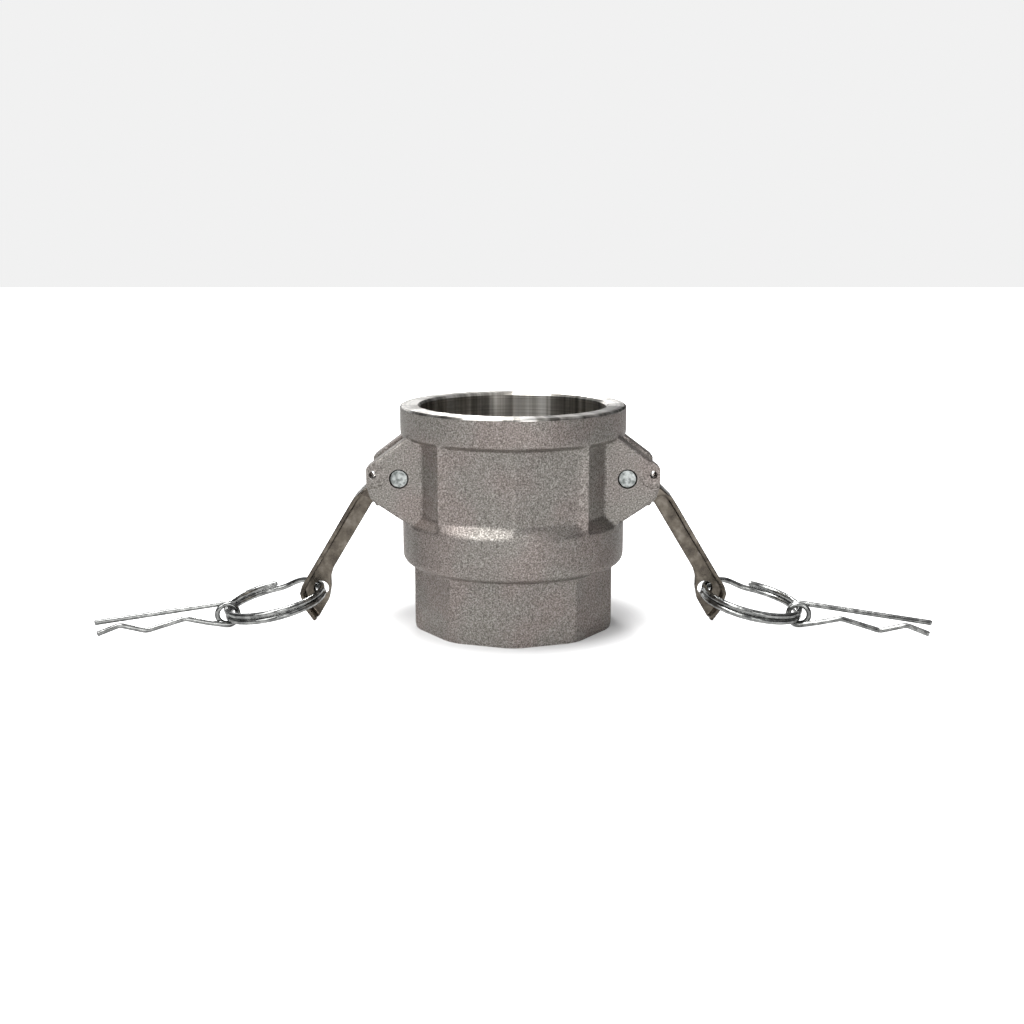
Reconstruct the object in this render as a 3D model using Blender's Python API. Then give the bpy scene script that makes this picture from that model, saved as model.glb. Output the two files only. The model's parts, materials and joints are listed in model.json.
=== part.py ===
"""Camlock coupling: a 2 inch female coupler by female pipe thread, with two cam arms.

Metres, +Z up. The origin is the centre of the thread-end face that the coupling stands on.
The body is one casting. Each cam arm turns on a pivot pin, a pull ring hangs through its
tail, and a wire safety clip hangs on the ring. The right side is +X and the left mirrors it.
"""
import math

import bmesh
import bpy
from mathutils import Matrix, Vector

MM = 0.001

# driving sizes of the body
BODY_HEIGHT = 77.0 * MM
SOCKET_RADIUS = 32.15 * MM
SOCKET_CHAMFER = 0.9 * MM
UPPER_BAND_RADIUS = SOCKET_RADIUS + 6.85 * MM
UPPER_BAND_HEIGHT = 9.8 * MM
UPPER_BAND_SLOPE = 1.5 * MM
RIM_ROUND = 0.8 * MM
LOWER_BAND_RADIUS = UPPER_BAND_RADIUS - 0.4 * MM
LOWER_BAND_TOP = 37.3 * MM
LOWER_BAND_BOTTOM = 22.4 * MM
LOWER_BAND_ROUND = 3.0 * MM
LEDGE_HEIGHT = 3.3 * MM
PAD_RADIUS = SOCKET_RADIUS + 4.65 * MM
RECESS_RADIUS = PAD_RADIUS + 0.2 * MM
PAD_HALF_WIDTH = 25.0 * MM
NECK_RADIUS = SOCKET_RADIUS + 3.65 * MM
NECK_END_RADIUS = NECK_RADIUS - 0.8 * MM
NECK_END_HEIGHT = 1.6 * MM
NECK_SIDES = 10
ROUND_STEPS = 80

# driving sizes of the thread end, gasket seat and passage
THREAD_MINOR_RADIUS = SOCKET_RADIUS - 3.82 * MM
THREAD_DEPTH = 21.0 * MM
THREAD_CHAMFER = 1.4 * MM
THREAD_RELIEF = 1.0 * MM
PASSAGE_RADIUS = THREAD_MINOR_RADIUS - 2.93 * MM
SEAT_HEIGHT = THREAD_DEPTH + 5.6 * MM
GASKET_THICKNESS = 6.35 * MM
GASKET_WIDTH = 7.3 * MM
GROOVE_LIP = 1.5 * MM
GASKET_CLEARANCE = 0.35 * MM
GASKET_EDGE = 0.6 * MM
GASKET_STEPS = 64

# driving sizes of the ears, pins and cam arms
EAR_OUTER = 17.5 * MM
EAR_GAP = 15.4 * MM
PIVOT_X = SOCKET_RADIUS + 6.25 * MM
PIVOT_Z = BODY_HEIGHT - 23.3 * MM
PIN_RADIUS = 3.0 * MM
PIN_CLEARANCE = 0.3 * MM
PIN_SETBACK = 0.2 * MM
CLIP_HOLE_X = PIVOT_X + 8.8 * MM
CLIP_HOLE_Z = PIVOT_Z + 1.3 * MM
CLIP_HOLE_RADIUS = 1.3 * MM
SPOT_FACE_RADIUS = 4.6 * MM
SPOT_FACE_DEPTH = 0.8 * MM
CAM_RADIUS = 7.2 * MM
CAM_THROW = 2.1 * MM
CAM_ANGLE = math.radians(195.0)
CAM_WINDOW_CLEARANCE = 1.0 * MM
CAM_WINDOW_INSIDE = 8.0 * MM
CAM_WINDOW_OUTSIDE = 3.0 * MM
ARM_CLEARANCE = 0.4 * MM
ARM_WEB = 3.4 * MM
ARM_FLANGE_WIDTH = 11.6 * MM
ARM_FLANGE = 1.4 * MM

# driving sizes of the pull rings and safety clips
RING_WIRE = 2.0 * MM
RING_RADIUS = 17.0 * MM
RING_PITCH = RING_WIRE + 0.1 * MM
RING_TURNS = 1.9
RING_STEPS = 36
RING_YAW = math.radians(18.0)
RING_TILT = math.radians(11.8)
RING_STEP_ANGLE = math.radians(120.0)
RING_CLEARANCE = 0.65 * MM
TAIL_HOLE_RADIUS = (RING_PITCH + RING_WIRE) / 2.0 + RING_CLEARANCE
CLIP_WIRE = 1.8 * MM
CLIP_EYE_RADIUS = TAIL_HOLE_RADIUS + CLIP_WIRE / 2.0
CLIP_COIL_PITCH = CLIP_WIRE + 0.15 * MM
CLIP_COIL_TURNS = 1.5
CLIP_COIL_STEPS = 16
WIRE_SIDES = 8

# how the ears are placed on the body, from the pivot: x and z of each corner, going round
EAR_CORNERS = [(-2.8, 14.0), (7.3, 6.4), (11.1, 3.5), (11.1, -2.5), (9.8, -6.9), (8.4, -8.2),
               (0.3, -13.7), (-5.2, -17.1)]
EAR_ROOT_X = SOCKET_RADIUS - 3.15 * MM

# the arm's side outline from the pivot, as x and z in millimetres
ARM_HEAD_BACK = [(13.4, -5.7), (7.6, -2.1), (5.2, 3.3)]
ARM_HEEL = [(-2.4, -11.0), (8.8, -11.3)]
ARM_HEAD_END = [(10.2, -8.9), (12.4, -7.9), (15.6, -7.8)]
ARM_INNER_EDGE = [(10.7, -11.0), (25.2, -35.1), (26.0, -37.9), (25.9, -41.5), (26.8, -46.1),
                  (30.6, -52.5), (31.8, -53.1)]
ARM_OUTER_EDGE = [(31.8, -53.1), (35.0, -48.7), (36.6, -43.1), (35.8, -40.4), (27.5, -26.6),
                  (19.0, -12.3), (16.9, -9.0), (13.4, -5.7)]
TAIL_HOLE = (29.5, -42.1)
ARM_WEB_ROOT = (5.0, -4.0)

# the clip's bent leg from the eye's centre: distance out and height, in millimetres
CLIP_STRAIGHT_END = (44.3, 0.4)
CLIP_BENT_LEG = [(7.0, -2.2), (14.5, -0.2), (27.5, -3.4), (36.2, -0.75), (43.7, -3.2)]


def clear_objects():
    for old in list(bpy.data.objects):
        bpy.data.objects.remove(old, do_unlink=True)


def make_material(name, colour, roughness, metallic):
    material = bpy.data.materials.new(name)
    material.use_nodes = True
    shader = material.node_tree.nodes["Principled BSDF"]
    shader.inputs["Base Color"].default_value = (*colour, 1.0)
    shader.inputs["Roughness"].default_value = roughness
    shader.inputs["Metallic"].default_value = metallic
    material.diffuse_color = (*colour, 1.0)
    return material


def object_from_bmesh(name, shape, material=None, sharp_angle=30.0):
    bmesh.ops.recalc_face_normals(shape, faces=shape.faces)
    mesh = bpy.data.meshes.new(name)
    shape.to_mesh(mesh)
    shape.free()
    mesh.shade_smooth()
    mesh.set_sharp_from_angle(angle=math.radians(sharp_angle))
    if material:
        mesh.materials.append(material)
    result = bpy.data.objects.new(name, mesh)
    bpy.context.scene.collection.objects.link(result)
    return result


def loft(rings, close_ends=True):
    """Join rings of equally many points, one after the other, into one closed shape."""
    shape = bmesh.new()
    rows = [[shape.verts.new(point) for point in ring] for ring in rings]
    count = len(rows[0])
    for lower, upper in zip(rows, rows[1:]):
        for i in range(count):
            j = (i + 1) % count
            shape.faces.new((lower[i], lower[j], upper[j], upper[i]))
    if close_ends:
        shape.faces.new(rows[0][::-1])
        shape.faces.new(rows[-1])
    return shape


def prism(outline, low_y, high_y):
    """A flat outline in X and Z, pushed out along Y."""
    return loft([[(x, y, z) for x, z in outline] for y in (low_y, high_y)])


def turned(profile, steps):
    """A closed turned shape from (radius, height) points; radius 0 isn't used."""
    turns = [2.0 * math.pi * i / steps for i in range(steps)]
    return loft([[(r * math.cos(a), r * math.sin(a), z) for a in turns] for r, z in profile])


def round_bar(centre_x, centre_z, radius, low_y, high_y, steps):
    angles = [2.0 * math.pi * i / steps for i in range(steps)]
    outline = [(centre_x + radius * math.cos(a), centre_z + radius * math.sin(a)) for a in angles]
    return prism(outline, low_y, high_y)


def add_boolean(target, tool, operation):
    tool.hide_render = True
    tool.display_type = "WIRE"
    modifier = target.modifiers.new(tool.name, "BOOLEAN")
    modifier.operation = operation
    modifier.solver = "EXACT"
    modifier.object = tool


def wire_along(points, radius, sides, start_side):
    """A round wire of constant section along a list of points."""
    rings = []
    side = start_side
    for i, point in enumerate(points):
        before = points[max(i - 1, 0)]
        after = points[min(i + 1, len(points) - 1)]
        along = (after - before).normalized()
        side = (side - along * side.dot(along)).normalized()
        up = along.cross(side)
        angles = [2.0 * math.pi * k / sides for k in range(sides)]
        rings.append([point + (side * math.cos(a) + up * math.sin(a)) * radius for a in angles])
    return loft(rings)


# ---- the body casting

def facet_radius(angle, corner_radius, sides):
    """Radius of a regular polygon whose corner is at angle 0."""
    half = math.pi / sides
    folded = angle % (2.0 * half) - half
    return corner_radius * math.cos(half) / math.cos(folded)


def pad_edges():
    """Depth of the flat strips, and the angles of the pad's edge and of its side wall's foot."""
    facet = 2.0 * math.pi / NECK_SIDES
    strip_depth = PAD_RADIUS * math.cos(facet)
    facing = 1.5 * facet
    flat = RECESS_RADIUS * math.cos(facet / 2.0)
    foot_depth = (flat - PAD_HALF_WIDTH * math.sin(facing)) / math.cos(facing)
    return strip_depth, math.atan2(PAD_HALF_WIDTH, strip_depth), math.atan2(PAD_HALF_WIDTH, foot_depth)


def pad_radius(angle):
    """Front and back pads with facets, a flat strip at each side, and faceted recesses beyond."""
    angle = abs(math.remainder(angle, math.pi))
    strip_depth, strip_end, _ = pad_edges()
    if angle <= 2.0 * math.pi / NECK_SIDES:
        return facet_radius(angle, PAD_RADIUS, NECK_SIDES)
    if angle <= strip_end + 1e-6:
        return strip_depth / math.cos(angle)
    return facet_radius(angle, RECESS_RADIUS, NECK_SIDES)


def body_angles():
    """Angles from the front, with a column at each facet's corner and pad's edge."""
    angles = [2.0 * math.pi * i / ROUND_STEPS for i in range(ROUND_STEPS)]
    for edge in pad_edges()[1:]:
        angles += [edge, math.pi - edge, math.pi + edge, 2.0 * math.pi - edge]
    spacing = 0.3 * 2.0 * math.pi / ROUND_STEPS
    exact = angles[ROUND_STEPS:]
    kept = [a for a in angles[:ROUND_STEPS] if all(abs(a - e) > spacing for e in exact)]
    return sorted(kept + exact)


def body_ring(height, radius_at):
    points = []
    for angle in body_angles():
        radius = radius_at(angle)
        points.append((radius * math.sin(angle), -radius * math.cos(angle), height))
    return points


def body_blank():
    def neck(angle):
        return facet_radius(angle, NECK_RADIUS, NECK_SIDES)

    def band(radius):
        return lambda angle: max(radius, neck(angle))

    def flat(radius):
        return lambda angle: radius

    def neck_end(angle):
        return min(NECK_END_RADIUS, neck(angle))

    rings = [body_ring(0.0, neck_end), body_ring(NECK_END_HEIGHT, neck)]
    rings.append(body_ring(LOWER_BAND_BOTTOM - 0.2 * MM, neck))
    for quarter in (0.0, 0.35, 0.65, 1.0):
        turn = quarter * math.pi / 2.0
        radius = LOWER_BAND_RADIUS - LOWER_BAND_ROUND * (1.0 - math.sin(turn))
        height = LOWER_BAND_BOTTOM + LOWER_BAND_ROUND * (1.0 - math.cos(turn))
        rings.append(body_ring(height, band(radius)))
    under_band = BODY_HEIGHT - UPPER_BAND_HEIGHT
    rings.append(body_ring(LOWER_BAND_TOP, flat(LOWER_BAND_RADIUS)))
    rings.append(body_ring(LOWER_BAND_TOP + LEDGE_HEIGHT, pad_radius))
    rings.append(body_ring(under_band - UPPER_BAND_SLOPE, pad_radius))
    rings.append(body_ring(under_band, flat(UPPER_BAND_RADIUS)))
    for quarter in (0.0, 0.5, 1.0):
        turn = quarter * math.pi / 2.0
        radius = UPPER_BAND_RADIUS - RIM_ROUND * (1.0 - math.cos(turn))
        rings.append(body_ring(BODY_HEIGHT - RIM_ROUND * (1.0 - math.sin(turn)), flat(radius)))
    shape = loft(rings)
    bmesh.ops.triangulate(shape, faces=shape.faces)  # the ledges' quads are warped, and get cut
    return shape


def bore_cutter():
    """Everything that is machined from the inside, as one turned tool."""
    beyond = 2.0 * MM
    groove_top = SEAT_HEIGHT + GASKET_THICKNESS + 2.0 * GASKET_CLEARANCE
    groove_radius = SOCKET_RADIUS + GROOVE_LIP
    mouth = SOCKET_RADIUS + SOCKET_CHAMFER
    thread_mouth = THREAD_MINOR_RADIUS + THREAD_CHAMFER
    profile = [(thread_mouth + beyond, -beyond), (thread_mouth, 0.0),
               (THREAD_MINOR_RADIUS, THREAD_CHAMFER), (THREAD_MINOR_RADIUS, THREAD_DEPTH),
               (PASSAGE_RADIUS, THREAD_DEPTH + THREAD_RELIEF), (PASSAGE_RADIUS, SEAT_HEIGHT),
               (groove_radius, SEAT_HEIGHT), (groove_radius, groove_top),
               (SOCKET_RADIUS, groove_top), (SOCKET_RADIUS, BODY_HEIGHT - SOCKET_CHAMFER),
               (mouth, BODY_HEIGHT), (mouth + beyond, BODY_HEIGHT + beyond)]
    return turned(profile, ROUND_STEPS)


def cam_reach():
    """Farthest that the cam's surface gets from the pivot."""
    return CAM_RADIUS + CAM_THROW


def make_body(material):
    body = object_from_bmesh("coupler_body", body_blank(), material)
    tools = []
    for side in (1, -1):
        word = "right" if side > 0 else "left"
        outline = [(EAR_ROOT_X, PIVOT_Z + EAR_CORNERS[0][1] * MM)]
        outline += [(PIVOT_X + x * MM, PIVOT_Z + z * MM) for x, z in EAR_CORNERS]
        outline += [(EAR_ROOT_X, PIVOT_Z + EAR_CORNERS[-1][1] * MM)]
        outline = [(side * x, z) for x, z in outline]
        for end in (1, -1):
            low, high = sorted((end * EAR_GAP / 2.0, end * EAR_OUTER))
            ear = object_from_bmesh(f"{word}_ear_blank_{end}", prism(outline, low, high))
            add_boolean(body, ear, "UNION")
            spot = round_bar(side * CLIP_HOLE_X, CLIP_HOLE_Z, SPOT_FACE_RADIUS,
                             *sorted((end * (EAR_OUTER - SPOT_FACE_DEPTH), end * 2 * EAR_OUTER)), 24)
            tools.append((f"{word}_spot_face_{end}", spot))
        window_low = PIVOT_Z - cam_reach() - CAM_WINDOW_CLEARANCE
        window_high = PIVOT_Z + cam_reach() - CAM_WINDOW_CLEARANCE / 2.0
        near, far = SOCKET_RADIUS - CAM_WINDOW_INSIDE, RECESS_RADIUS + CAM_WINDOW_OUTSIDE
        window = [(near, window_low), (far, window_low), (far, window_high), (near, window_high)]
        half = EAR_GAP / 2.0
        tools.append((f"{word}_cam_window", prism([(side * x, z) for x, z in window], -half, half)))
        tools.append((f"{word}_pin_hole", round_bar(side * PIVOT_X, PIVOT_Z, PIN_RADIUS + PIN_CLEARANCE,
                                                    -2 * EAR_OUTER, 2 * EAR_OUTER, 32)))
        tools.append((f"{word}_clip_hole", round_bar(side * CLIP_HOLE_X, CLIP_HOLE_Z, CLIP_HOLE_RADIUS,
                                                     -2 * EAR_OUTER, 2 * EAR_OUTER, 16)))
    tools.append(("bore_tool", bore_cutter()))
    for name, shape in tools:
        add_boolean(body, object_from_bmesh(name, shape), "DIFFERENCE")
    return body


def make_gasket(material):
    outer = SOCKET_RADIUS + GROOVE_LIP - GASKET_CLEARANCE
    inner = outer - GASKET_WIDTH
    low = SEAT_HEIGHT + GASKET_CLEARANCE
    high = low + GASKET_THICKNESS
    profile = [(inner, low), (outer, low), (outer, high), (inner + GASKET_EDGE, high),
               (inner, high - GASKET_EDGE)]
    turns = [2.0 * math.pi * i / GASKET_STEPS for i in range(GASKET_STEPS)]
    rings = [[(r * math.cos(a), r * math.sin(a), z) for a in turns] for r, z in profile]
    shape = loft(rings + rings[:1], close_ends=False)
    bmesh.ops.remove_doubles(shape, verts=shape.verts, dist=0.00001)
    return object_from_bmesh("face_gasket", shape, material)


# ---- the moving pieces of one side

def from_pivot(points, side):
    return [(side * (PIVOT_X + x * MM), PIVOT_Z + z * MM) for x, z in points]


def cam_arc():
    """The cam is a circle whose centre is off the pivot."""
    centre_x = CAM_THROW * math.cos(CAM_ANGLE) / MM
    centre_z = CAM_THROW * math.sin(CAM_ANGLE) / MM
    radius = CAM_RADIUS / MM
    degrees = [62 + 12 * i for i in range(16)]
    return [(centre_x + radius * math.cos(math.radians(d)), centre_z + radius * math.sin(math.radians(d)))
            for d in degrees]


def inset_edge(points, distance):
    """The same open line moved to its left by a distance."""
    moved = []
    for i, (x, z) in enumerate(points):
        before = points[max(i - 1, 0)]
        after = points[min(i + 1, len(points) - 1)]
        run = math.hypot(after[0] - before[0], after[1] - before[1])
        moved.append((x - (after[1] - before[1]) / run * distance,
                      z + (after[0] - before[0]) / run * distance))
    return moved


def make_arm(side, word, material):
    head = ARM_HEAD_BACK + cam_arc() + ARM_HEEL + ARM_HEAD_END
    web = ARM_INNER_EDGE + ARM_OUTER_EDGE[1:] + [ARM_WEB_ROOT, ARM_HEEL[1]]
    flange_inside = inset_edge(ARM_OUTER_EDGE, ARM_FLANGE / MM)
    flange = ARM_OUTER_EDGE + flange_inside[::-1]
    half_head = EAR_GAP / 2.0 - ARM_CLEARANCE
    arm = object_from_bmesh(f"{word}_cam_arm", prism(from_pivot(web, side), -ARM_WEB / 2, ARM_WEB / 2),
                            material)
    head_shape = prism(from_pivot(head, side), -half_head, half_head)
    add_boolean(arm, object_from_bmesh(f"{word}_arm_head", head_shape), "UNION")
    half_flange = ARM_FLANGE_WIDTH / 2.0
    flange_shape = prism(from_pivot(flange, side), -half_flange, half_flange)
    add_boolean(arm, object_from_bmesh(f"{word}_arm_flange", flange_shape), "UNION")
    pin_bore = round_bar(side * PIVOT_X, PIVOT_Z, PIN_RADIUS + PIN_CLEARANCE,
                         -EAR_OUTER, EAR_OUTER, 32)
    add_boolean(arm, object_from_bmesh(f"{word}_arm_bore", pin_bore), "DIFFERENCE")
    (hole_x, hole_z), = from_pivot([TAIL_HOLE], side)
    tail_hole = round_bar(hole_x, hole_z, TAIL_HOLE_RADIUS, -EAR_OUTER, EAR_OUTER, 24)
    add_boolean(arm, object_from_bmesh(f"{word}_tail_hole", tail_hole), "DIFFERENCE")
    return arm


def make_pin(side, word, material):
    half = EAR_OUTER - PIN_SETBACK
    pin = round_bar(side * PIVOT_X, PIVOT_Z, PIN_RADIUS, -half, half, 32)
    return object_from_bmesh(f"{word}_pivot_pin", pin, material)


def hanging_axes(side):
    """Outward, sideways and upward directions of the ring as it lies beside the coupling."""
    outward = Vector((side * math.cos(RING_YAW) * math.cos(RING_TILT),
                      -math.sin(RING_YAW) * math.cos(RING_TILT), -math.sin(RING_TILT)))
    sideways = Vector((side * math.sin(RING_YAW), math.cos(RING_YAW), 0.0))
    upward = sideways.cross(outward) * side * -1.0
    if upward.z < 0.0:
        upward = -upward
    return outward, sideways, upward


def tail_hole_centre(side):
    (x, z), = from_pivot([TAIL_HOLE], side)
    return Vector((x, 0.0, z))


def ring_lift(share):
    """The two turns lie flat on each other, and the wire changes layers between its two ends."""
    rise = min(max(share / (2.0 - RING_TURNS) + 0.5, 0.0), 1.0)
    return RING_PITCH * (rise * rise * (3.0 - 2.0 * rise) - 0.5)


def make_ring(side, word, material):
    outward, sideways, upward = hanging_axes(side)
    centre = tail_hole_centre(side) + outward * RING_RADIUS
    points = []
    for i in range(int(RING_TURNS * RING_STEPS) + 1):
        share = i / RING_STEPS - RING_TURNS / 2.0
        turn = 2.0 * math.pi * share + RING_STEP_ANGLE
        points.append(centre + RING_RADIUS * (outward * math.cos(turn) + sideways * math.sin(turn))
                      + upward * ring_lift(share))
    shape = wire_along(points, RING_WIRE / 2.0, WIRE_SIDES, upward)
    return object_from_bmesh(f"{word}_pull_ring", shape, material, 60.0)


def eye_centre(side):
    return tail_hole_centre(side) + hanging_axes(side)[0] * 2.0 * RING_RADIUS


def clip_points(side):
    """Straight leg, coil of one and a half turns round the ring, and the bent leg."""
    outward, sideways = hanging_axes(side)[:2]
    level = Vector((outward.x, outward.y, 0.0)).normalized()
    up = Vector((0.0, 0.0, 1.0))
    eye = eye_centre(side)
    half_coil = CLIP_COIL_PITCH * CLIP_COIL_TURNS / 2.0
    places = [(CLIP_STRAIGHT_END[0] * MM, CLIP_STRAIGHT_END[1] * MM, half_coil)]
    count = int(CLIP_COIL_TURNS * CLIP_COIL_STEPS)
    for i in range(count + 1):
        turn = math.pi / 2.0 + 2.0 * math.pi * i / CLIP_COIL_STEPS
        along = half_coil - CLIP_COIL_PITCH * i / CLIP_COIL_STEPS
        places.append((CLIP_EYE_RADIUS * math.cos(turn), CLIP_EYE_RADIUS * math.sin(turn), along))
    ease = [0.75, 0.45, 0.2, 0.0, 0.0]
    for (out, height), share in zip(CLIP_BENT_LEG, ease):
        places.append((out * MM, height * MM, -half_coil * share))
    return [eye + level * out + up * height + sideways * along for out, height, along in places]


def make_clip(side, word, material):
    shape = wire_along(clip_points(side), CLIP_WIRE / 2.0, WIRE_SIDES, hanging_axes(side)[1])
    return object_from_bmesh(f"{word}_safety_clip", shape, material, 60.0)


def hang(child, parent, place):
    """Put an object's origin on its joint and keep its mesh where it is."""
    child.data.transform(Matrix.Translation(-place))
    child.parent = parent
    child.location = place - (parent.matrix_world.translation if parent else Vector())
    bpy.context.view_layer.update()


def main():
    clear_objects()
    cast_steel = make_material("cast_stainless_steel", (0.30, 0.28, 0.26), 0.62, 1.0)
    arm_steel = make_material("tumbled_stainless_steel", (0.24, 0.21, 0.185), 0.42, 1.0)
    pin_steel = make_material("stainless_pin_steel", (0.55, 0.56, 0.55), 0.38, 1.0)
    wire_steel = make_material("bright_stainless_wire", (0.62, 0.62, 0.62), 0.18, 1.0)
    rubber = make_material("black_nitrile_rubber", (0.015, 0.015, 0.016), 0.6, 0.0)
    make_body(cast_steel)
    make_gasket(rubber)
    for side, word in ((1, "right"), (-1, "left")):
        make_pin(side, word, pin_steel)
        arm = make_arm(side, word, arm_steel)
        pivot = bpy.data.objects.new(f"{word}_pivot", None)
        pivot.location = (side * PIVOT_X, 0.0, PIVOT_Z)
        bpy.context.scene.collection.objects.link(pivot)
        bpy.context.view_layer.update()
        ring = make_ring(side, word, wire_steel)
        clip = make_clip(side, word, wire_steel)
        hang(arm, pivot, pivot.location.copy())
        hang(ring, pivot, tail_hole_centre(side))
        hang(clip, ring, eye_centre(side))


main()
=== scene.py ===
import bmesh
import bpy
import json
import math
import numpy as np
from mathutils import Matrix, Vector


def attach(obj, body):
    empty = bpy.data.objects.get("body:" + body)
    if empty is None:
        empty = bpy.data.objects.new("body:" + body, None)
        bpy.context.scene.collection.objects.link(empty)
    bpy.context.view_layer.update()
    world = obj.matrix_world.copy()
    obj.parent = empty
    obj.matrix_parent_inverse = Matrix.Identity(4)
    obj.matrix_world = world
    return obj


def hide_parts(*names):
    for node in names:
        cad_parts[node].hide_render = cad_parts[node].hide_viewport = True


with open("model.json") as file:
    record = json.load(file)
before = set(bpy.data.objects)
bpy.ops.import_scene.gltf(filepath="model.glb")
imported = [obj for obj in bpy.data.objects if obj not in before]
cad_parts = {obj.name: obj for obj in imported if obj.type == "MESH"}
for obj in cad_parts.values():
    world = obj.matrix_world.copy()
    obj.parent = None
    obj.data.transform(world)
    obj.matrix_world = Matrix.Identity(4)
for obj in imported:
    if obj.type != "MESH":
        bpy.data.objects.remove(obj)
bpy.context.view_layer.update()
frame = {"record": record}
mm = 0.001
sides = {"right": 1, "left": -1}
jointPlaces = {joint["name"]: np.array(joint["pos_m"])
               for joint in frame["record"]["behaviour"]["joints"]}
print("frame loaded")


# ---- colours and nodes

def toLinear(hexColour):  # sRGB hex to linear RGBA
    channels = np.array([int(hexColour[i:i + 2], 16) / 255 for i in (1, 3, 5)])
    linear = np.where(channels <= 0.04045, channels / 12.92, ((channels + 0.055) / 1.055) ** 2.4)
    return (*linear.tolist(), 1.0)


def addNode(tree, kind, settings=None, links=None):  # settings: attributes or socket values
    node = tree.nodes.new(kind)
    for key, value in (settings or {}).items():
        if isinstance(key, str) and hasattr(node, key):
            setattr(node, key, value)
        else:
            node.inputs[key].default_value = value
    for key, source in (links or {}).items():
        tree.links.new(source, node.inputs[key])
    return node


def newMaterial(name, colour, metallic, roughness):
    material = bpy.data.materials.new(name)
    material.use_nodes = True
    shader = material.node_tree.nodes["Principled BSDF"]
    shader.inputs["Base Color"].default_value = toLinear(colour)
    shader.inputs["Metallic"].default_value = metallic
    shader.inputs["Roughness"].default_value = roughness
    return material, material.node_tree, shader


def objectNoise(tree, sizeMm, detail=2.0, roughness=0.5):  # noise whose blobs are sizeMm across
    coords = addNode(tree, "ShaderNodeTexCoord")
    return addNode(tree, "ShaderNodeTexNoise",
                   {"Scale": 1000.0 / sizeMm, "Detail": detail, "Roughness": roughness},
                   {"Vector": coords.outputs["Object"]})


def colourRamp(tree, factor, stops):  # stops: (position, hex)
    ramp = addNode(tree, "ShaderNodeValToRGB", None, {"Fac": factor})
    elements = ramp.color_ramp.elements
    while len(elements) < len(stops):
        elements.new(0.5)
    for element, (position, colour) in zip(elements, stops):
        element.position = position
        element.color = toLinear(colour)
    return ramp.outputs["Color"]


def blendColours(tree, mode, factor, first, second):
    mix = addNode(tree, "ShaderNodeMix", {"data_type": "RGBA", "blend_type": mode})
    mix.inputs[0].default_value = factor
    tree.links.new(first, mix.inputs[6])
    tree.links.new(second, mix.inputs[7])
    return mix.outputs[2]


def bumpFrom(tree, heights):  # heights: (socket, depth in mm, strength), laid on one another
    normal = None
    for height, depthMm, strength in heights:
        bump = addNode(tree, "ShaderNodeBump", {"Distance": depthMm * mm, "Strength": strength},
                       {"Height": height})
        if normal:
            tree.links.new(normal, bump.inputs["Normal"])
        normal = bump.outputs["Normal"]
    return normal


# shot-blasted investment cast stainless: dull warm grey, a sandy grain with bright specks
def castStainlessBlasted():
    material, tree, shader = newMaterial("castStainlessBlasted", "#938c85", 1.0, 0.52)
    grain = objectNoise(tree, 0.5, 2.0, 0.62)  # shot dimples about half a millimetre across
    patches = objectNoise(tree, 17.0, 1.0, 0.5)  # faint pink and green-grey tint
    specks = objectNoise(tree, 0.36, 1.0, 0.5)
    base = colourRamp(tree, grain.outputs["Fac"],
                      [(0.30, "#7b7773"), (0.50, "#aaa5a1"), (0.70, "#d9d5d1")])
    tint = colourRamp(tree, patches.outputs["Fac"],
                      [(0.38, "#f4f5f3"), (0.50, "#f5f3f2"), (0.62, "#f6f0ef")])
    glint = colourRamp(tree, specks.outputs["Fac"], [(0.58, "#bdbab6"), (0.70, "#ffffff")])
    colour = blendColours(tree, "MULTIPLY", 1.0, base, tint)
    colour = blendColours(tree, "MULTIPLY", 0.5, colour, glint)
    tree.links.new(colour, shader.inputs["Base Color"])
    rough = addNode(tree, "ShaderNodeMapRange",
                    {"From Min": 0.3, "From Max": 0.7, "To Min": 0.58, "To Max": 0.42},
                    {"Value": grain.outputs["Fac"]})
    tree.links.new(rough.outputs["Result"], shader.inputs["Roughness"])
    normal = bumpFrom(tree, [(grain.outputs["Fac"], 0.20, 0.7), (specks.outputs["Fac"], 0.08, 0.5)])
    tree.links.new(normal, shader.inputs["Normal"])
    return material


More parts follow.
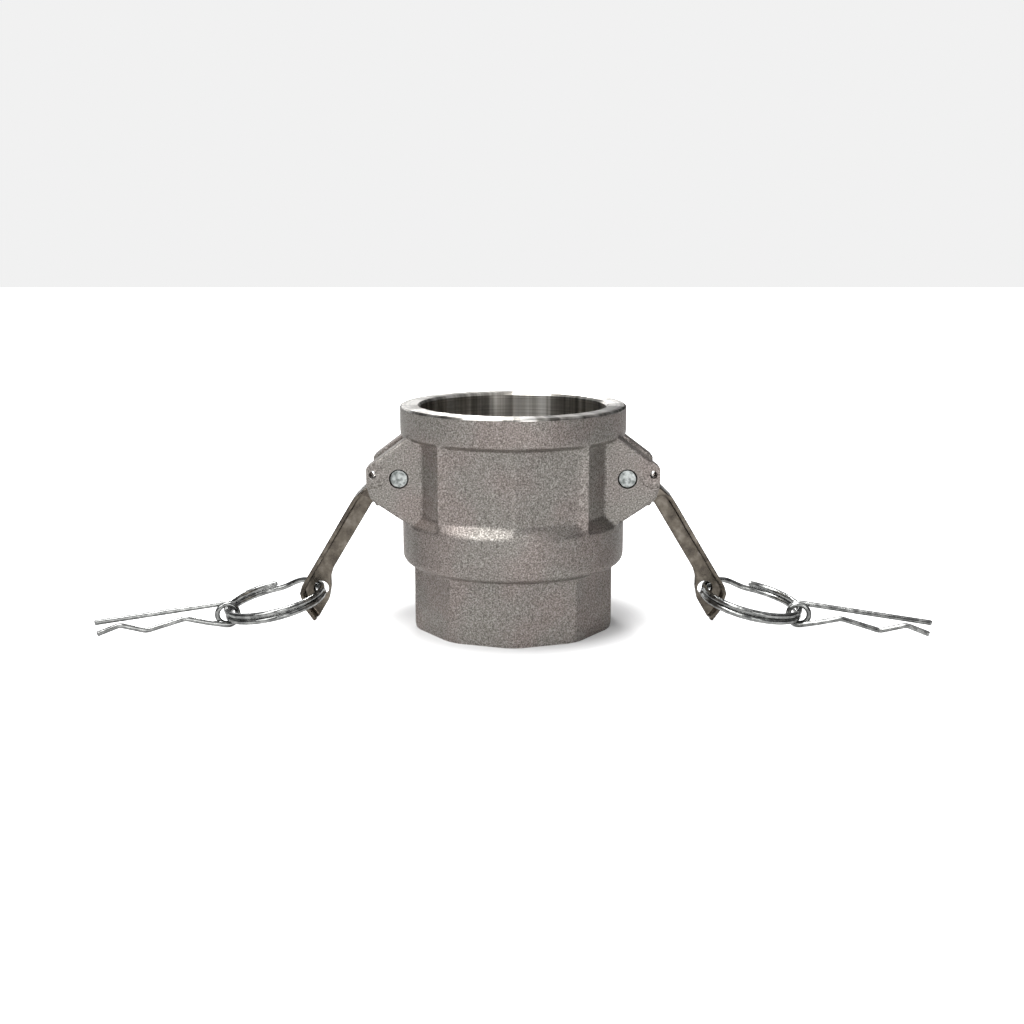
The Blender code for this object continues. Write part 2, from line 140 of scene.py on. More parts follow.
# turned stainless: bright, its circular tool lines spread each light across them; the dark and bright
# streaks round it are painted reflections
def turnedStainless():
    material, tree, shader = newMaterial("turnedStainless", "#cfcdc9", 1.0, 0.30)
    shader.inputs["Anisotropic"].default_value = 0.8
    shader.inputs["Anisotropic Rotation"].default_value = 0.25
    coords = addNode(tree, "ShaderNodeTexCoord")
    parts = addNode(tree, "ShaderNodeSeparateXYZ", None, {0: coords.outputs["Object"]})
    reach = addNode(tree, "ShaderNodeVectorMath", {"operation": "LENGTH"},
                    {0: coords.outputs["Object"]})
    lines = addNode(tree, "ShaderNodeTexNoise",  # tool lines a third of a millimetre apart
                    {"noise_dimensions": "1D", "Scale": 3000.0, "Detail": 1.0},
                    {"W": reach.outputs["Value"]})
    turn = addNode(tree, "ShaderNodeMath", {"operation": "ARCTAN2"},
                   {0: parts.outputs["X"], 1: parts.outputs["Y"]})
    reflectionStreaks = addNode(tree, "ShaderNodeTexNoise",  # painted reflection streaks, the widest about 13 degrees
                      {"noise_dimensions": "1D", "Scale": 4.5, "Detail": 3.0, "Roughness": 0.62},
                      {"W": turn.outputs["Value"]})
    tangent = addNode(tree, "ShaderNodeTangent", {"direction_type": "RADIAL", "axis": "Z"})
    tree.links.new(tangent.outputs["Tangent"], shader.inputs["Tangent"])
    tone = colourRamp(tree, lines.outputs["Fac"], [(0.3, "#bcbab6"), (0.7, "#e6e4e0")])
    # painted reflection: dark and bright streaks by angle round the axis, multiplied into the colour
    paintedReflection = colourRamp(tree, reflectionStreaks.outputs["Fac"],
                        [(0.36, "#77746f"), (0.48, "#b9b6b1"), (0.56, "#efedea"), (0.66, "#ffffff")])
    tree.links.new(blendColours(tree, "MULTIPLY", 0.9, tone, paintedReflection), shader.inputs["Base Color"])
    normal = bumpFrom(tree, [(lines.outputs["Fac"], 0.02, 0.2)])
    tree.links.new(normal, shader.inputs["Normal"])
    return material


# tumbled cast stainless: satin, brown-grey, with soft cloudy wear
def tumbledStainless():
    material, tree, shader = newMaterial("tumbledStainless", "#857e76", 1.0, 0.30)
    cloud = objectNoise(tree, 3.5, 4.0, 0.6)
    fine = objectNoise(tree, 0.5, 2.0, 0.6)
    tone = colourRamp(tree, cloud.outputs["Fac"],
                      [(0.32, "#534d47"), (0.52, "#70695f"), (0.70, "#8d867d")])
    tree.links.new(tone, shader.inputs["Base Color"])
    rough = addNode(tree, "ShaderNodeMapRange",
                    {"From Min": 0.3, "From Max": 0.7, "To Min": 0.24, "To Max": 0.36},
                    {"Value": cloud.outputs["Fac"]})
    tree.links.new(rough.outputs["Result"], shader.inputs["Roughness"])
    normal = bumpFrom(tree, [(cloud.outputs["Fac"], 0.10, 0.25), (fine.outputs["Fac"], 0.03, 0.30)])
    tree.links.new(normal, shader.inputs["Normal"])
    return material


# sheared stainless pin: pale silver, dimpled where it was cropped
def shearedPinSteel():
    material, tree, shader = newMaterial("shearedPinSteel", "#b4b8b6", 1.0, 0.38)
    dents = objectNoise(tree, 1.3, 3.0, 0.6)
    tone = colourRamp(tree, dents.outputs["Fac"], [(0.38, "#7f8482"), (0.60, "#c9cdcb")])
    tree.links.new(tone, shader.inputs["Base Color"])
    normal = bumpFrom(tree, [(dents.outputs["Fac"], 0.35, 0.6)])
    tree.links.new(normal, shader.inputs["Normal"])
    return material


# bright drawn stainless wire: smooth, mid-grey, with painted lines of light and dark along it standing
# in for reflections
def brightDrawnWire():
    material, tree, shader = newMaterial("brightDrawnWire", "#989997", 1.0, 0.22)
    reflectionBandsAndRoughness = objectNoise(tree, 2.4, 2.0, 0.5)
    # painted reflection: lighter and darker patches in the colour stand in for reflected light; the same
    # noise also varies the roughness
    tone = colourRamp(tree, reflectionBandsAndRoughness.outputs["Fac"], [(0.38, "#797a79"), (0.62, "#acadab")])
    tree.links.new(tone, shader.inputs["Base Color"])
    rough = addNode(tree, "ShaderNodeMapRange",
                    {"From Min": 0.3, "From Max": 0.7, "To Min": 0.16, "To Max": 0.26},
                    {"Value": reflectionBandsAndRoughness.outputs["Fac"]})
    tree.links.new(rough.outputs["Result"], shader.inputs["Roughness"])
    return material


# moulded nitrile rubber: soft black with a slight bloom
def mouldedNitrile():
    material, tree, shader = newMaterial("mouldedNitrile", "#1b1b1c", 0.0, 0.55)
    bloom = objectNoise(tree, 2.0, 3.0, 0.6)
    tone = colourRamp(tree, bloom.outputs["Fac"], [(0.35, "#161617"), (0.70, "#262627")])
    tree.links.new(tone, shader.inputs["Base Color"])
    normal = bumpFrom(tree, [(bloom.outputs["Fac"], 0.05, 0.2)])
    tree.links.new(normal, shader.inputs["Normal"])
    return material


castMetal = castStainlessBlasted()
turnedMetal = turnedStainless()
armMetal = tumbledStainless()
pinMetal = shearedPinSteel()
wireMetal = brightDrawnWire()
rubber = mouldedNitrile()
print("materials made")


# ---- meshes

# a grid of points (rows, columns, xyz) whose columns close round; the ends are capped
def gridParts(points, joinRows=False):
    rows, columns = points.shape[:2]
    corners = np.arange(rows * columns).reshape(rows, columns)
    lower = corners if joinRows else corners[:-1]
    upper = np.roll(corners, -1, axis=0) if joinRows else corners[1:]
    quads = np.stack([lower, np.roll(lower, -1, 1), np.roll(upper, -1, 1), upper], -1)
    faces = quads.reshape(-1, 4).tolist()
    if not joinRows:
        faces += [corners[0][::-1].tolist(), corners[-1].tolist()]
    return points.reshape(-1, 3), faces


def meshPiece(name, parts, materials, sharpDegrees=40):
    points = np.concatenate([part[0] for part in parts])
    starts = np.cumsum([0] + [len(part[0]) for part in parts])
    faces = [[corner + int(start) for corner in face]
             for start, part in zip(starts, parts) for face in part[1]]
    mesh = bpy.data.meshes.new(name)
    mesh.from_pydata(points.tolist(), [], faces)
    mesh.validate()
    for material in materials:
        mesh.materials.append(material)
    piece = bpy.data.objects.new(name, mesh)
    bpy.context.scene.collection.objects.link(piece)
    faceOutwards(piece)
    smoothShade(piece, sharpDegrees)
    return piece


def faceOutwards(piece):  # normals made to agree, then turned so that the volume is positive
    shape = bmesh.new()
    shape.from_mesh(piece.data)
    bmesh.ops.recalc_face_normals(shape, faces=shape.faces)
    if shape.calc_volume(signed=True) < 0:
        bmesh.ops.reverse_faces(shape, faces=shape.faces)
    shape.to_mesh(piece.data)
    shape.free()


def smoothShade(piece, sharpDegrees):
    piece.data.shade_smooth()
    piece.data.set_sharp_from_angle(angle=math.radians(sharpDegrees))


def applyModifiers(piece):
    bpy.context.view_layer.update()
    evaluated = piece.evaluated_get(bpy.context.evaluated_depsgraph_get())
    mesh = bpy.data.meshes.new_from_object(evaluated)
    old = piece.data
    piece.modifiers.clear()
    piece.data = mesh
    bpy.data.meshes.remove(old)


# joined solids melted into one skin: voxel remesh, then the edges relaxed as in a casting
def castSkin(piece, voxelMm, relaxSteps):
    remesh = piece.modifiers.new("cast", "REMESH")
    remesh.mode = "VOXEL"
    remesh.voxel_size = voxelMm * mm
    remesh.use_smooth_shade = True
    relax = piece.modifiers.new("relax", "SMOOTH")
    relax.factor = 0.5
    relax.iterations = relaxSteps
    applyModifiers(piece)


def cutWith(piece, tools):
    for tool in tools:
        cut = piece.modifiers.new(tool.name, "BOOLEAN")
        cut.operation = "DIFFERENCE"
        cut.solver = "MANIFOLD"
        cut.object = tool
        applyModifiers(piece)
        mesh = tool.data
        bpy.data.objects.remove(tool)
        bpy.data.meshes.remove(mesh)


def slab(outline, lowY, highY):  # an outline in x and z pushed out along y
    flat = np.array(outline)
    rows = [np.column_stack([flat[:, 0], np.full(len(flat), y), flat[:, 1]]) for y in (lowY, highY)]
    return gridParts(np.array(rows))


def roundBar(x, z, radius, lowY, highY, columns=64):
    turn = np.linspace(0, 2 * np.pi, columns, endpoint=False)
    return slab(np.column_stack([x + radius * np.cos(turn), z + radius * np.sin(turn)]), lowY, highY)


def turnedGrid(profile, columns):  # (radius, height) points carried round the z axis
    radius, height = np.array(profile, dtype=float).T[:, :, None]
    turn = np.linspace(0, 2 * np.pi, columns, endpoint=False)[None, :]
    return np.stack([radius * np.cos(turn), radius * np.sin(turn),
                     np.broadcast_to(height, (len(profile), columns))], -1)


def arcPoints(centre, radius, startDegrees, endDegrees, count):
    turn = np.radians(np.linspace(startDegrees, endDegrees, count))
    return [(centre[0] + radius * math.cos(a), centre[1] + radius * math.sin(a)) for a in turn]


def finish(piece, body, node):
    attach(piece, body)
    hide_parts(node)


# ---- the body casting

bodySizes = {
    "height": 77.0, "socketRadius": 32.15, "socketChamfer": 0.9, "upperBandRadius": 39.0,
    "upperBandHeight": 9.8, "upperBandSlope": 1.5, "rimRound": 0.9,
    "lowerBandRadius": 38.6, "lowerBandTop": 37.3, "lowerBandBottom": 22.4, "lowerBandRound": 3.0,
    "ledgeHeight": 3.3, "recessRadius": 37.0, "padRadius": 36.8, "padHalfWidth": 25.0,
    "neckRadius": 35.8, "neckSides": 10, "neckEndRadius": 35.0, "neckEndHeight": 1.6,
    "threadMinor": 28.33, "threadDepth": 1.48, "threadPitch": 2.309, "threadLength": 21.0,
    "threadStart": 0.9, "threadRunout": 2.5, "threadStop": 0.4,
    "passageRadius": 25.4, "seatHeight": 26.6, "grooveRadius": 33.65, "grooveTop": 33.65,
    "earOuter": 17.5, "earGap": 15.4, "earRootX": 29.0, "pinHole": 3.3,
    "clipHoleX": 8.8, "clipHoleZ": 1.3, "clipHole": 1.3, "spotFace": 4.6, "spotFaceDepth": 0.8,
    "windowLow": 10.3, "windowHigh": 8.8, "windowInner": 24.0, "windowOuter": 38.0,
    "drillReach": 40.0, "voxel": 0.55}
earCorners = [(-2.8, 14.0), (7.3, 6.4), (11.1, 3.5), (11.1, -2.5), (9.8, -6.9), (8.4, -8.2),
              (0.3, -13.7), (-5.2, -17.1)]  # x and z from the pivot, in mm


def facetRadius(angle, corner, count):  # polygon radius = corner cos(half) / cos(folded angle)
    half = np.pi / count
    return corner * np.cos(half) / np.cos(np.mod(angle, 2 * half) - half)


def padRadii(angle):  # facets in front, a flat strip beside them, then the recess facets
    s = bodySizes
    folded = np.abs(np.mod(angle + np.pi / 2, np.pi) - np.pi / 2)
    facetEnd = 2 * np.pi / s["neckSides"]
    depth = s["padRadius"] * math.cos(facetEnd)
    stripEnd = math.atan2(s["padHalfWidth"], depth)
    facets = facetRadius(folded, s["padRadius"], s["neckSides"])
    strip = depth / np.cos(np.minimum(folded, 1.2))  # it ends well before 1.2 rad
    recess = facetRadius(folded, s["recessRadius"], s["neckSides"])
    return np.where(folded <= facetEnd, facets, np.where(folded <= stripEnd, strip, recess))


def bodyBlank():
    s = bodySizes
    angle = np.linspace(0, 2 * np.pi, 720, endpoint=False)
    neck = facetRadius(angle, s["neckRadius"], s["neckSides"])
    level = np.ones_like(angle)
    quarter = np.radians(np.linspace(0, 90, 9))
    neckEnd = np.minimum(neck, s["neckEndRadius"])
    rows = [(neckEnd, -1.0), (neckEnd, 0.0), (neck, s["neckEndHeight"]),
            (neck, s["lowerBandBottom"] - 0.2)]
    rows += [(np.maximum(neck, s["lowerBandRadius"] - s["lowerBandRound"] * (1 - math.sin(a))),
              s["lowerBandBottom"] + s["lowerBandRound"] * (1 - math.cos(a))) for a in quarter]
    underBand = s["height"] - s["upperBandHeight"]
    rows += [(s["lowerBandRadius"] * level, s["lowerBandTop"]),
             (padRadii(angle), s["lowerBandTop"] + s["ledgeHeight"]),
             (padRadii(angle), underBand - s["upperBandSlope"]),
             (s["upperBandRadius"] * level, underBand),
             (s["upperBandRadius"] * level, s["height"] + 1.0)]
    points = np.array([np.column_stack([r * np.sin(angle), -r * np.cos(angle), z * level])
                       for r, z in rows])
    return gridParts(points * mm)


# radius = minor + depth * triangle wave of (height / pitch - turn), with a tenth of the wave
# cut flat at crest and root, run out towards the top
def threadTool():
    s = bodySizes
    columns = 180
    end = s["threadLength"] - s["threadStop"]
    height = np.linspace(s["threadStart"], end, 81)[:, None]
    turn = np.linspace(0, 2 * np.pi, columns, endpoint=False)[None, :]
    wave = np.abs(2 * np.mod(height / s["threadPitch"] - turn / (2 * np.pi), 1.0) - 1)
    wave = np.clip(wave * 1.25 - 0.125, 0, 1)
    fade = np.clip((end - height) / s["threadRunout"], 0, 1)
    radius = s["threadMinor"] + s["threadDepth"] * wave * fade
    return np.stack([radius * np.cos(turn), radius * np.sin(turn),
                     np.broadcast_to(height, radius.shape)], -1)


# everything machined: both end faces, the rounded rim, the socket, the groove and the thread
def machiningTool():
    s = bodySizes
    columns = 180
    wide = s["upperBandRadius"] + 4
    mouth = s["threadMinor"] + s["threadDepth"]
    low = turnedGrid([(wide, -4), (wide, 0), (s["neckRadius"] + 1.6, 0), (s["neckRadius"] - 1.5, 0),
                      (mouth + 0.6, 0), (mouth, 0.5)], columns)
    top = s["height"]
    rim = arcPoints((s["upperBandRadius"] - s["rimRound"], top - s["rimRound"]), s["rimRound"],
                    90, 0, 8)
    soft = 0.35
    high = turnedGrid(
        [(s["threadMinor"], s["threadLength"]), (s["passageRadius"], s["threadLength"] + 1.0),
         (s["passageRadius"], s["seatHeight"] - 0.4), (s["passageRadius"] + 0.4, s["seatHeight"]),
         (s["grooveRadius"], s["seatHeight"]), (s["grooveRadius"], s["grooveTop"]),
         (s["socketRadius"] + soft, s["grooveTop"]), (s["socketRadius"], s["grooveTop"] + soft)]
        + [(s["socketRadius"], z) for z in np.linspace(s["grooveTop"] + 1, top - 2, 12)]
        + [(s["socketRadius"], top - s["socketChamfer"]),
           (s["socketRadius"] + s["socketChamfer"] * 0.75, top - 0.12),
           (s["socketRadius"] + s["socketChamfer"], top)]
        + [(float(r), float(z)) for r, z in rim]
        + [(wide, top - s["rimRound"]), (wide, top + 4)], columns)
    return gridParts(np.concatenate([low, threadTool(), high]) * mm)


def markMachined(piece):  # faces inside the bore or on the end faces get the turned finish
    s = bodySizes
    mesh = piece.data
    middles = np.empty(len(mesh.polygons) * 3)
    normals = np.empty(len(mesh.polygons) * 3)
    mesh.polygons.foreach_get("center", middles)
    mesh.polygons.foreach_get("normal", normals)
    middles = middles.reshape(-1, 3) / mm
    inward = (middles[:, :2] * normals.reshape(-1, 3)[:, :2]).sum(1) < 0
    radius = np.hypot(middles[:, 0], middles[:, 1])
    window = (np.abs(middles[:, 1]) < s["earGap"] / 2 + 0.1) & (radius > s["socketRadius"] + 0.1)
    rim = middles[:, 2] > s["height"] - s["rimRound"] - 0.02
    bore = (radius < s["grooveRadius"] + 0.1) & ~window & (inward | (middles[:, 2] < s["grooveTop"]))
    foot = (middles[:, 2] < 0.02) & (radius < s["neckEndRadius"])
    mesh.materials.clear()
    mesh.materials.append(castMetal)
    mesh.materials.append(turnedMetal)
    mesh.polygons.foreach_set("material_index", (rim | bore | foot).astype(np.int32))


def makeBody():
    s = bodySizes
    blanks = [bodyBlank()]
    spots, windows, holes = [], [], []
    half = s["earGap"] / 2 * mm
    reach = s["drillReach"] * mm
    for side in sides.values():
        pivotX, pivotZ = jointPlaces["right_arm_hinge"][[0, 2]]
        outline = [(s["earRootX"] * mm, pivotZ + earCorners[0][1] * mm)]
        outline += [(pivotX + x * mm, pivotZ + z * mm) for x, z in earCorners]
        outline += [(s["earRootX"] * mm, pivotZ + earCorners[-1][1] * mm)]
        outline = [(side * x, z) for x, z in outline]
        clipX = side * (pivotX + s["clipHoleX"] * mm)
        clipZ = pivotZ + s["clipHoleZ"] * mm
        for end in (1, -1):
            low, high = sorted((end * half, end * s["earOuter"] * mm))
            blanks.append(slab(outline, low, high))
            deep = (s["earOuter"] - s["spotFaceDepth"]) * mm
            low, high = sorted((end * deep, end * reach))
            spots.append(roundBar(clipX, clipZ, s["spotFace"] * mm, low, high))
        windowOutline = [(side * x * mm, pivotZ + z * mm) for x, z in
                         ((s["windowInner"], -s["windowLow"]), (s["windowOuter"], -s["windowLow"]),
                          (s["windowOuter"], s["windowHigh"]), (s["windowInner"], s["windowHigh"]))]
        windows.append(slab(windowOutline, -half, half))
        holes.append(roundBar(side * pivotX, pivotZ, s["pinHole"] * mm, -reach, reach))
        holes.append(roundBar(clipX, clipZ, s["clipHole"] * mm, -reach, reach, 32))
    body = meshPiece("couplerBodyCasting", blanks, [castMetal])
    castSkin(body, s["voxel"], 6)
    tools = [meshPiece("spotFaceTool", spots, [castMetal]),
             meshPiece("camWindowTool", windows, [castMetal]),
             meshPiece("drillTool", holes, [castMetal]),
             meshPiece("machiningTool", [machiningTool()], [turnedMetal])]
    cutWith(body, tools)
    markMachined(body)
    smoothShade(body, 38)
    finish(body, "root", "coupler_body")
    return body


body = makeBody()
print("body cast:", len(body.data.polygons), "faces,", [m.name for m in body.data.materials])


# ---- the gasket

gasketSizes = {"outer": 33.3, "inner": 26.0, "low": 26.95, "high": 33.3, "edge": 0.7, "lip": 0.5}


def makeGasket():  # a square section with rounded corners and a shallow groove in its inner wall
    g = gasketSizes
    e = g["edge"]
    corners = (arcPoints((g["inner"] + e, g["low"] + e), e, 180, 270, 5)
               + arcPoints((g["outer"] - e, g["low"] + e), e, 270, 360, 5)
               + arcPoints((g["outer"] - e, g["high"] - e), e, 0, 90, 5)
               + arcPoints((g["inner"] + e, g["high"] - e), e, 90, 180, 5))
    middle = (g["low"] + g["high"]) / 2
    corners += [(g["inner"] + g["lip"] * math.sin(a), middle + 1.4 * math.cos(a))
                for a in np.radians(np.linspace(0, 180, 7))]
    gasket = meshPiece("faceGasketRubber", [gridParts(turnedGrid(corners, 144) * mm, True)], [rubber])
    finish(gasket, "root", "face_gasket")


makeGasket()
print("gasket moulded")


# ---- cam arms

armSizes = {"web": 3.4, "flangeWidth": 11.6, "flange": 1.4, "headClearance": 0.4, "pinBore": 3.3,
            "tailHole": 2.7, "camRadius": 7.2, "camThrow": 2.1, "camDegrees": 195.0,
            "voxel": 0.32, "drillReach": 30.0}
headBack = [(13.4, -5.7), (7.6, -2.1), (5.2, 3.3)]
headFront = [(-2.4, -11.0), (8.8, -11.3), (10.2, -8.9), (12.4, -7.9), (15.6, -7.8)]
innerEdge = [(10.7, -11.0), (25.2, -35.1), (26.0, -37.9), (25.9, -41.5), (26.8, -46.1),
             (30.6, -52.5), (31.8, -53.1)]
outerEdge = [(31.8, -53.1), (35.0, -48.7), (36.6, -43.1), (35.8, -40.4), (27.5, -26.6),
             (19.0, -12.3), (16.9, -9.0), (13.4, -5.7)]


def insetLine(points, distance):  # the open line moved to its left along its normals
    line = np.array(points)
    along = np.gradient(line, axis=0)
    along /= np.linalg.norm(along, axis=1, keepdims=True)
    return line + np.column_stack([-along[:, 1], along[:, 0]]) * distance


def makeArm(word, side):
    a = armSizes
    pivot = jointPlaces[word + "_arm_hinge"]
    hole = jointPlaces[word + "_ring_hinge"]

    def placed(points):
        flat = np.array(points) * mm
        return np.column_stack([pivot[0] + side * flat[:, 0], pivot[2] + flat[:, 1]])

    lift = math.radians(a["camDegrees"])
    camCentre = (a["camThrow"] * math.cos(lift), a["camThrow"] * math.sin(lift))
    head = headBack + arcPoints(camCentre, a["camRadius"], 62, 242, 40) + headFront
    web = innerEdge + outerEdge[1:] + [(5.0, -4.0), headFront[1]]
    flange = outerEdge + insetLine(outerEdge, a["flange"])[::-1].tolist()
    halfHead = (bodySizes["earGap"] / 2 - a["headClearance"]) * mm
    parts = [slab(placed(web), -a["web"] / 2 * mm, a["web"] / 2 * mm),
             slab(placed(head), -halfHead, halfHead),
             slab(placed(flange), -a["flangeWidth"] / 2 * mm, a["flangeWidth"] / 2 * mm)]
    arm = meshPiece(word + "ArmCasting", parts, [armMetal])
    castSkin(arm, a["voxel"], 4)
    reach = a["drillReach"] * mm
    bores = [roundBar(pivot[0], pivot[2], a["pinBore"] * mm, -reach, reach),
             roundBar(hole[0], hole[2], a["tailHole"] * mm, -reach, reach)]
    cutWith(arm, [meshPiece(word + "ArmBores", bores, [armMetal])])
    smoothShade(arm, 45)
    finish(arm, word + "_arm", word + "_cam_arm")
    print(word, "arm:", len(arm.data.polygons), "faces")


# ---- pivot pins

pinSizes = {"radius": 3.0, "halfLength": 17.3, "edge": 0.35}


def makePin(word):  # a bar whose ends are slightly domed and broken at the edge
    p = pinSizes
    pivot = jointPlaces[word + "_arm_hinge"]
    dome = [(p["radius"] * f, p["halfLength"] - 0.12 * f * f) for f in (0.15, 0.4, 0.65, 0.85)]
    edge = arcPoints((p["radius"] - p["edge"], p["halfLength"] - p["edge"] - 0.1), p["edge"], 85, 0, 5)
    half = dome + [(float(r), float(y)) for r, y in edge]
    profile = np.array(half + [(r, -y) for r, y in half[::-1]])
    turn = np.linspace(0, 2 * np.pi, 64, endpoint=False)
    points = np.stack([pivot[0] + profile[:, :1] * np.cos(turn) * mm,
                       np.broadcast_to(profile[:, 1:] * mm, (len(profile), 64)),
                       pivot[2] + profile[:, :1] * np.sin(turn) * mm], -1)
    pin = meshPiece(word + "PinBar", [gridParts(points)], [pinMetal])
    finish(pin, "root", word + "_pivot_pin")


# ---- rings and clips

# a round wire swept along a path; guide is a direction that the path never runs along
def wireGrid(path, radius, guide, columns=20, endRound=0.25):
    along = np.gradient(path, axis=0)
    along /= np.linalg.norm(along, axis=1, keepdims=True)
    across = guide - along * (along @ guide)[:, None]
    across /= np.linalg.norm(across, axis=1, keepdims=True)
    upright = np.cross(along, across)
    turn = np.linspace(0, 2 * np.pi, columns, endpoint=False)[None, :, None]
    size = np.full(len(path), radius)
    size[[0, -1]] = radius * (1 - endRound)
    return (path[:, None, :] + size[:, None, None]
            * (across[:, None, :] * np.cos(turn) + upright[:, None, :] * np.sin(turn)))


ringSizes = {"wire": 2.0, "pitch": 2.1, "turns": 1.9, "stepDegrees": 120.0, "steps": 150}
clipSizes = {"wire": 1.8, "eye": 3.6, "coilPitch": 1.95, "coilTurns": 1.5, "bend": 2.6,
             "step": 0.35}
clipStraightEnd = (44.3, 0.4)
clipBentLeg = [(7.0, -2.2), (14.5, -0.2), (27.5, -3.4), (36.2, -0.75), (43.7, -3.2)]
bentLegShare = [0.75, 0.45, 0.2, 0.0, 0.0]


def hangingAxes(word):  # outward along the ring, sideways along its hinge, and square to both
    reach = jointPlaces[word + "_clip_hinge"] - jointPlaces[word + "_ring_hinge"]
    outward = reach / np.linalg.norm(reach)
    level = np.array([outward[0], outward[1], 0.0])
    level /= np.linalg.norm(level)
    sideways = np.array([-level[1], level[0], 0.0]) * np.sign(level[0])
    upward = np.cross(outward, sideways) * np.sign(level[0])
    return outward, level, sideways, upward, np.linalg.norm(reach) / 2


# centre + radius (outward cos + sideways sin) + upward lift, which rises in one short step
def makeRing(word):
    r = ringSizes
    outward, _, sideways, upward, radius = hangingAxes(word)
    centre = jointPlaces[word + "_ring_hinge"] + outward * radius
    share = np.arange(int(r["turns"] * r["steps"]) + 1) / r["steps"] - r["turns"] / 2
    turn = (2 * np.pi * share + math.radians(r["stepDegrees"]))[:, None]
    rise = np.clip(share / (2 - r["turns"]) + 0.5, 0, 1)
    lift = r["pitch"] * mm * (rise * rise * (3 - 2 * rise) - 0.5)
    path = (centre + radius * (outward * np.cos(turn) + sideways * np.sin(turn))
            + upward * lift[:, None])
    ring = meshPiece(word + "RingWire", [gridParts(wireGrid(path, r["wire"] / 2 * mm, upward))],
                     [wireMetal], 60)
    finish(ring, word + "_ring", word + "_pull_ring")


def evenPath(points, stepMm):  # the same line with evenly spaced points
    gaps = np.linalg.norm(np.diff(points, axis=0), axis=1)
    reach = np.concatenate([[0], np.cumsum(gaps)])
    places = np.linspace(0, reach[-1], int(reach[-1] / stepMm) + 1)
    return np.column_stack([np.interp(places, reach, column) for column in points.T])


def bendSmoothly(path, count):  # moving mean, with the ends carried on straight
    ahead = path[:1] + (path[:1] - path[1:2]) * np.arange(count, 0, -1)[:, None]
    beyond = path[-1:] + (path[-1:] - path[-2:-1]) * np.arange(1, count + 1)[:, None]
    long = np.concatenate([ahead, path, beyond])
    kernel = np.ones(2 * count + 1) / (2 * count + 1)
    return np.column_stack([np.convolve(column, kernel, "valid") for column in long.T])


# straight leg, a coil of one and a half turns round the ring, and the bent leg
def makeClip(word):
    c = clipSizes
    _, level, sideways, _, _ = hangingAxes(word)
    half = c["coilPitch"] * c["coilTurns"] / 2
    share = np.linspace(0, c["coilTurns"], 73)
    turn = np.pi / 2 + 2 * np.pi * share
    coil = np.column_stack([c["eye"] * np.cos(turn), c["eye"] * np.sin(turn),
                            half - c["coilPitch"] * share])
    bent = np.column_stack([np.array(clipBentLeg), -half * np.array(bentLegShare)])
    flat = np.concatenate([[[*clipStraightEnd, half]], coil, bent])
    flat = bendSmoothly(evenPath(flat, c["step"]), int(c["bend"] / c["step"] / 2))
    eye = jointPlaces[word + "_clip_hinge"]
    path = eye + (level * flat[:, :1] + np.array([0, 0, 1.0]) * flat[:, 1:2]
                  + sideways * flat[:, 2:]) * mm
    clip = meshPiece(word + "ClipWire", [gridParts(wireGrid(path, c["wire"] / 2 * mm, sideways))],
                     [wireMetal], 60)
    finish(clip, word + "_clip", word + "_safety_clip")


for word, side in sides.items():
    makeArm(word, side)
    makePin(word)
    makeRing(word)
    makeClip(word)
print("arms, pins, rings and clips made")


# ---- floor, light and camera

stageSizes = {"floor": 6.0, "distance": 0.45156, "eyeHeight": 0.13397, "pitch": 0.2078,
              "lens": 46.23, "offset": -0.0004, "worldStrength": 0.88, "floorGlow": 0.1,
              "shadowInside": 0.036, "shadowOutside": 0.062}


# place, height of the point aimed at on the axis, width and height in metres, then watts
studioLights = {
    "keyFrontLeft": ((-0.62, -0.88, 0.80), 0.04, 0.75, 0.75, 7.4),
    "frontRight": ((0.30, -1.10, 0.30), 0.03, 0.40, 0.6, 2.7),
    "overhead": ((-0.20, -0.12, 0.95), 0.06, 0.35, 0.55, 7),
    "lowBack": ((-0.45, 1.25, 0.42), 0.07, 1.3, 0.3, 2.6),
    "topBackStrip": ((-0.10, 0.75, 0.70), 0.05, 0.12, 0.5, 5)}


def softLight(name, place, aimHeight, width, height, power):
    light = bpy.data.lights.new(name, "AREA")
    light.shape = "RECTANGLE"
    light.size = width
    light.size_y = height
    light.energy = power
    lamp = bpy.data.objects.new(name, light)
    lamp.location = place
    lamp.rotation_euler = (Vector((0, 0, aimHeight)) - Vector(place)).to_track_quat("-Z", "Y").to_euler()
    bpy.context.scene.collection.objects.link(lamp)


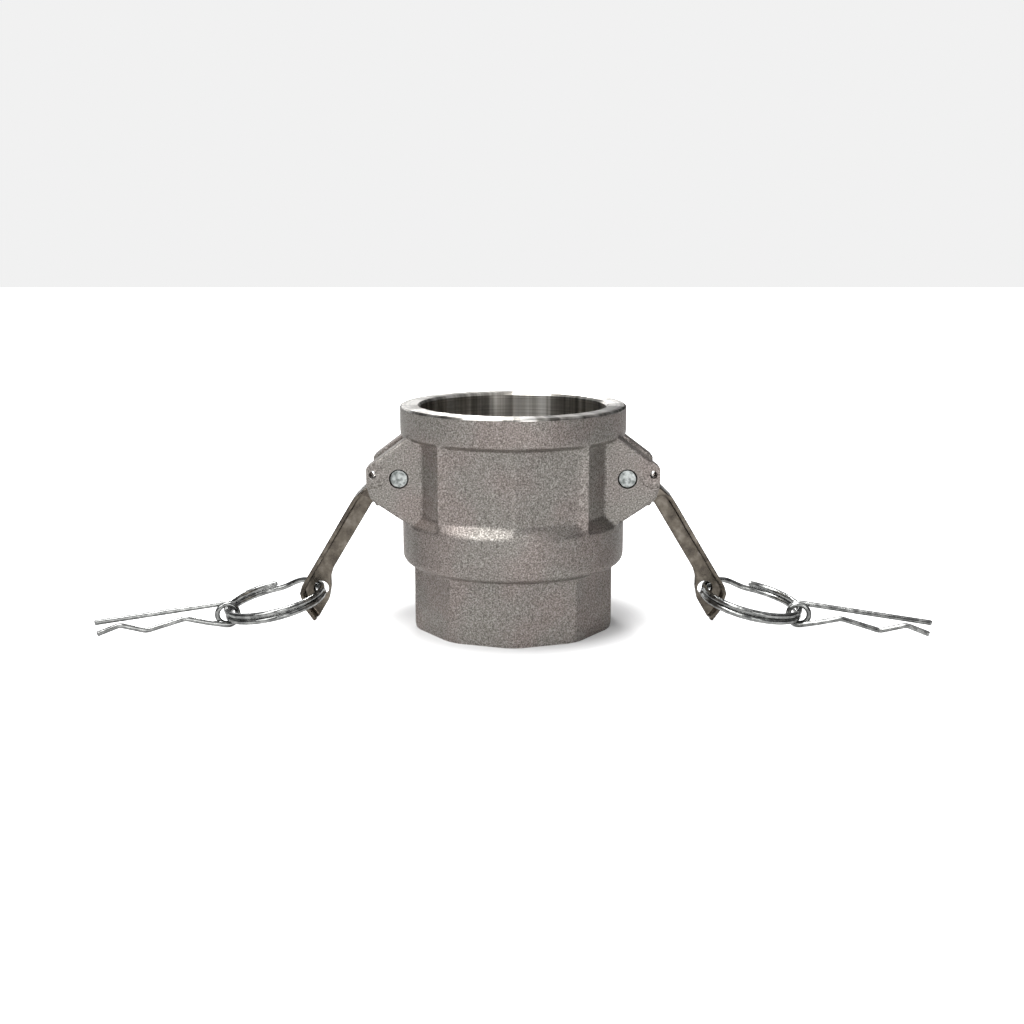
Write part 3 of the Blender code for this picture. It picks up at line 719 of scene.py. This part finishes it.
def makeStage():
    s = stageSizes
    half = s["floor"] / 2
    floorMesh = bpy.data.meshes.new("studioFloor")
    floorMesh.from_pydata([(-half, -half, 0), (half, -half, 0), (half, half, 0), (-half, half, 0)],
                          [], [(0, 1, 2, 3)])
    floor = bpy.data.objects.new("studioFloor", floorMesh)
    bpy.context.scene.collection.objects.link(floor)
    paper, tree, shader = newMaterial("whitePaperFloor", "#d8d8d8", 0.0, 0.9)
    coords = addNode(tree, "ShaderNodeTexCoord")
    flat = addNode(tree, "ShaderNodeVectorMath", {"operation": "MULTIPLY", 1: (1, 1, 0)},
                   {0: coords.outputs["Object"]})
    reach = addNode(tree, "ShaderNodeVectorMath", {"operation": "LENGTH"},
                    {0: flat.outputs["Vector"]})
    # the floor glows white to the camera but dims close to the body: painted shade round the base, added
    # to the shadow the lamps cast
    glow = addNode(tree, "ShaderNodeMapRange",
                   {"interpolation_type": "SMOOTHSTEP", "From Min": s["shadowInside"],
                    "From Max": s["shadowOutside"], "To Min": s["floorGlow"], "To Max": 1.0},
                   {"Value": reach.outputs["Value"]})
    seen = addNode(tree, "ShaderNodeLightPath")
    glow = addNode(tree, "ShaderNodeMath", {"operation": "MULTIPLY"},
                   {0: glow.outputs["Result"], 1: seen.outputs["Is Camera Ray"]})
    shader.inputs["Emission Color"].default_value = (1, 1, 1, 1)
    tree.links.new(glow.outputs["Value"], shader.inputs["Emission Strength"])
    floorMesh.materials.append(paper)
    for name, setting in studioLights.items():
        softLight(name, *setting)
    world = bpy.data.worlds.new("studioWorld")
    bpy.context.scene.world = world
    world.use_nodes = True
    tree = world.node_tree
    coords = addNode(tree, "ShaderNodeTexCoord")
    height = addNode(tree, "ShaderNodeSeparateXYZ", None, {0: coords.outputs["Generated"]})
    room = colourRamp(tree, height.outputs["Z"],
                      [(0.0, "#2a2a2a"), (0.3, "#4b4b4c"), (0.55, "#7c7c7e"), (0.75, "#c4c4c6"),
                       (1.0, "#d4d4d4")])
    seen = addNode(tree, "ShaderNodeLightPath")
    sky = addNode(tree, "ShaderNodeMix", {"data_type": "RGBA"})
    tree.links.new(seen.outputs["Is Camera Ray"], sky.inputs[0])
    tree.links.new(room, sky.inputs[6])
    sky.inputs[7].default_value = (1, 1, 1, 1)
    background = tree.nodes["Background"]
    tree.links.new(sky.outputs[2], background.inputs["Color"])
    background.inputs["Strength"].default_value = s["worldStrength"]
    camera = bpy.data.cameras.new("studioCamera")
    camera.lens = s["lens"]
    camera.sensor_width = 36.0
    eye = bpy.data.objects.new("studioCamera", camera)
    eye.location = (s["offset"], -s["distance"], s["eyeHeight"])
    eye.rotation_euler = (math.pi / 2 - s["pitch"], 0, 0)
    bpy.context.scene.collection.objects.link(eye)
    bpy.context.scene.camera = eye
    bpy.context.scene.view_settings.view_transform = "Standard"


makeStage()
print("stage set")
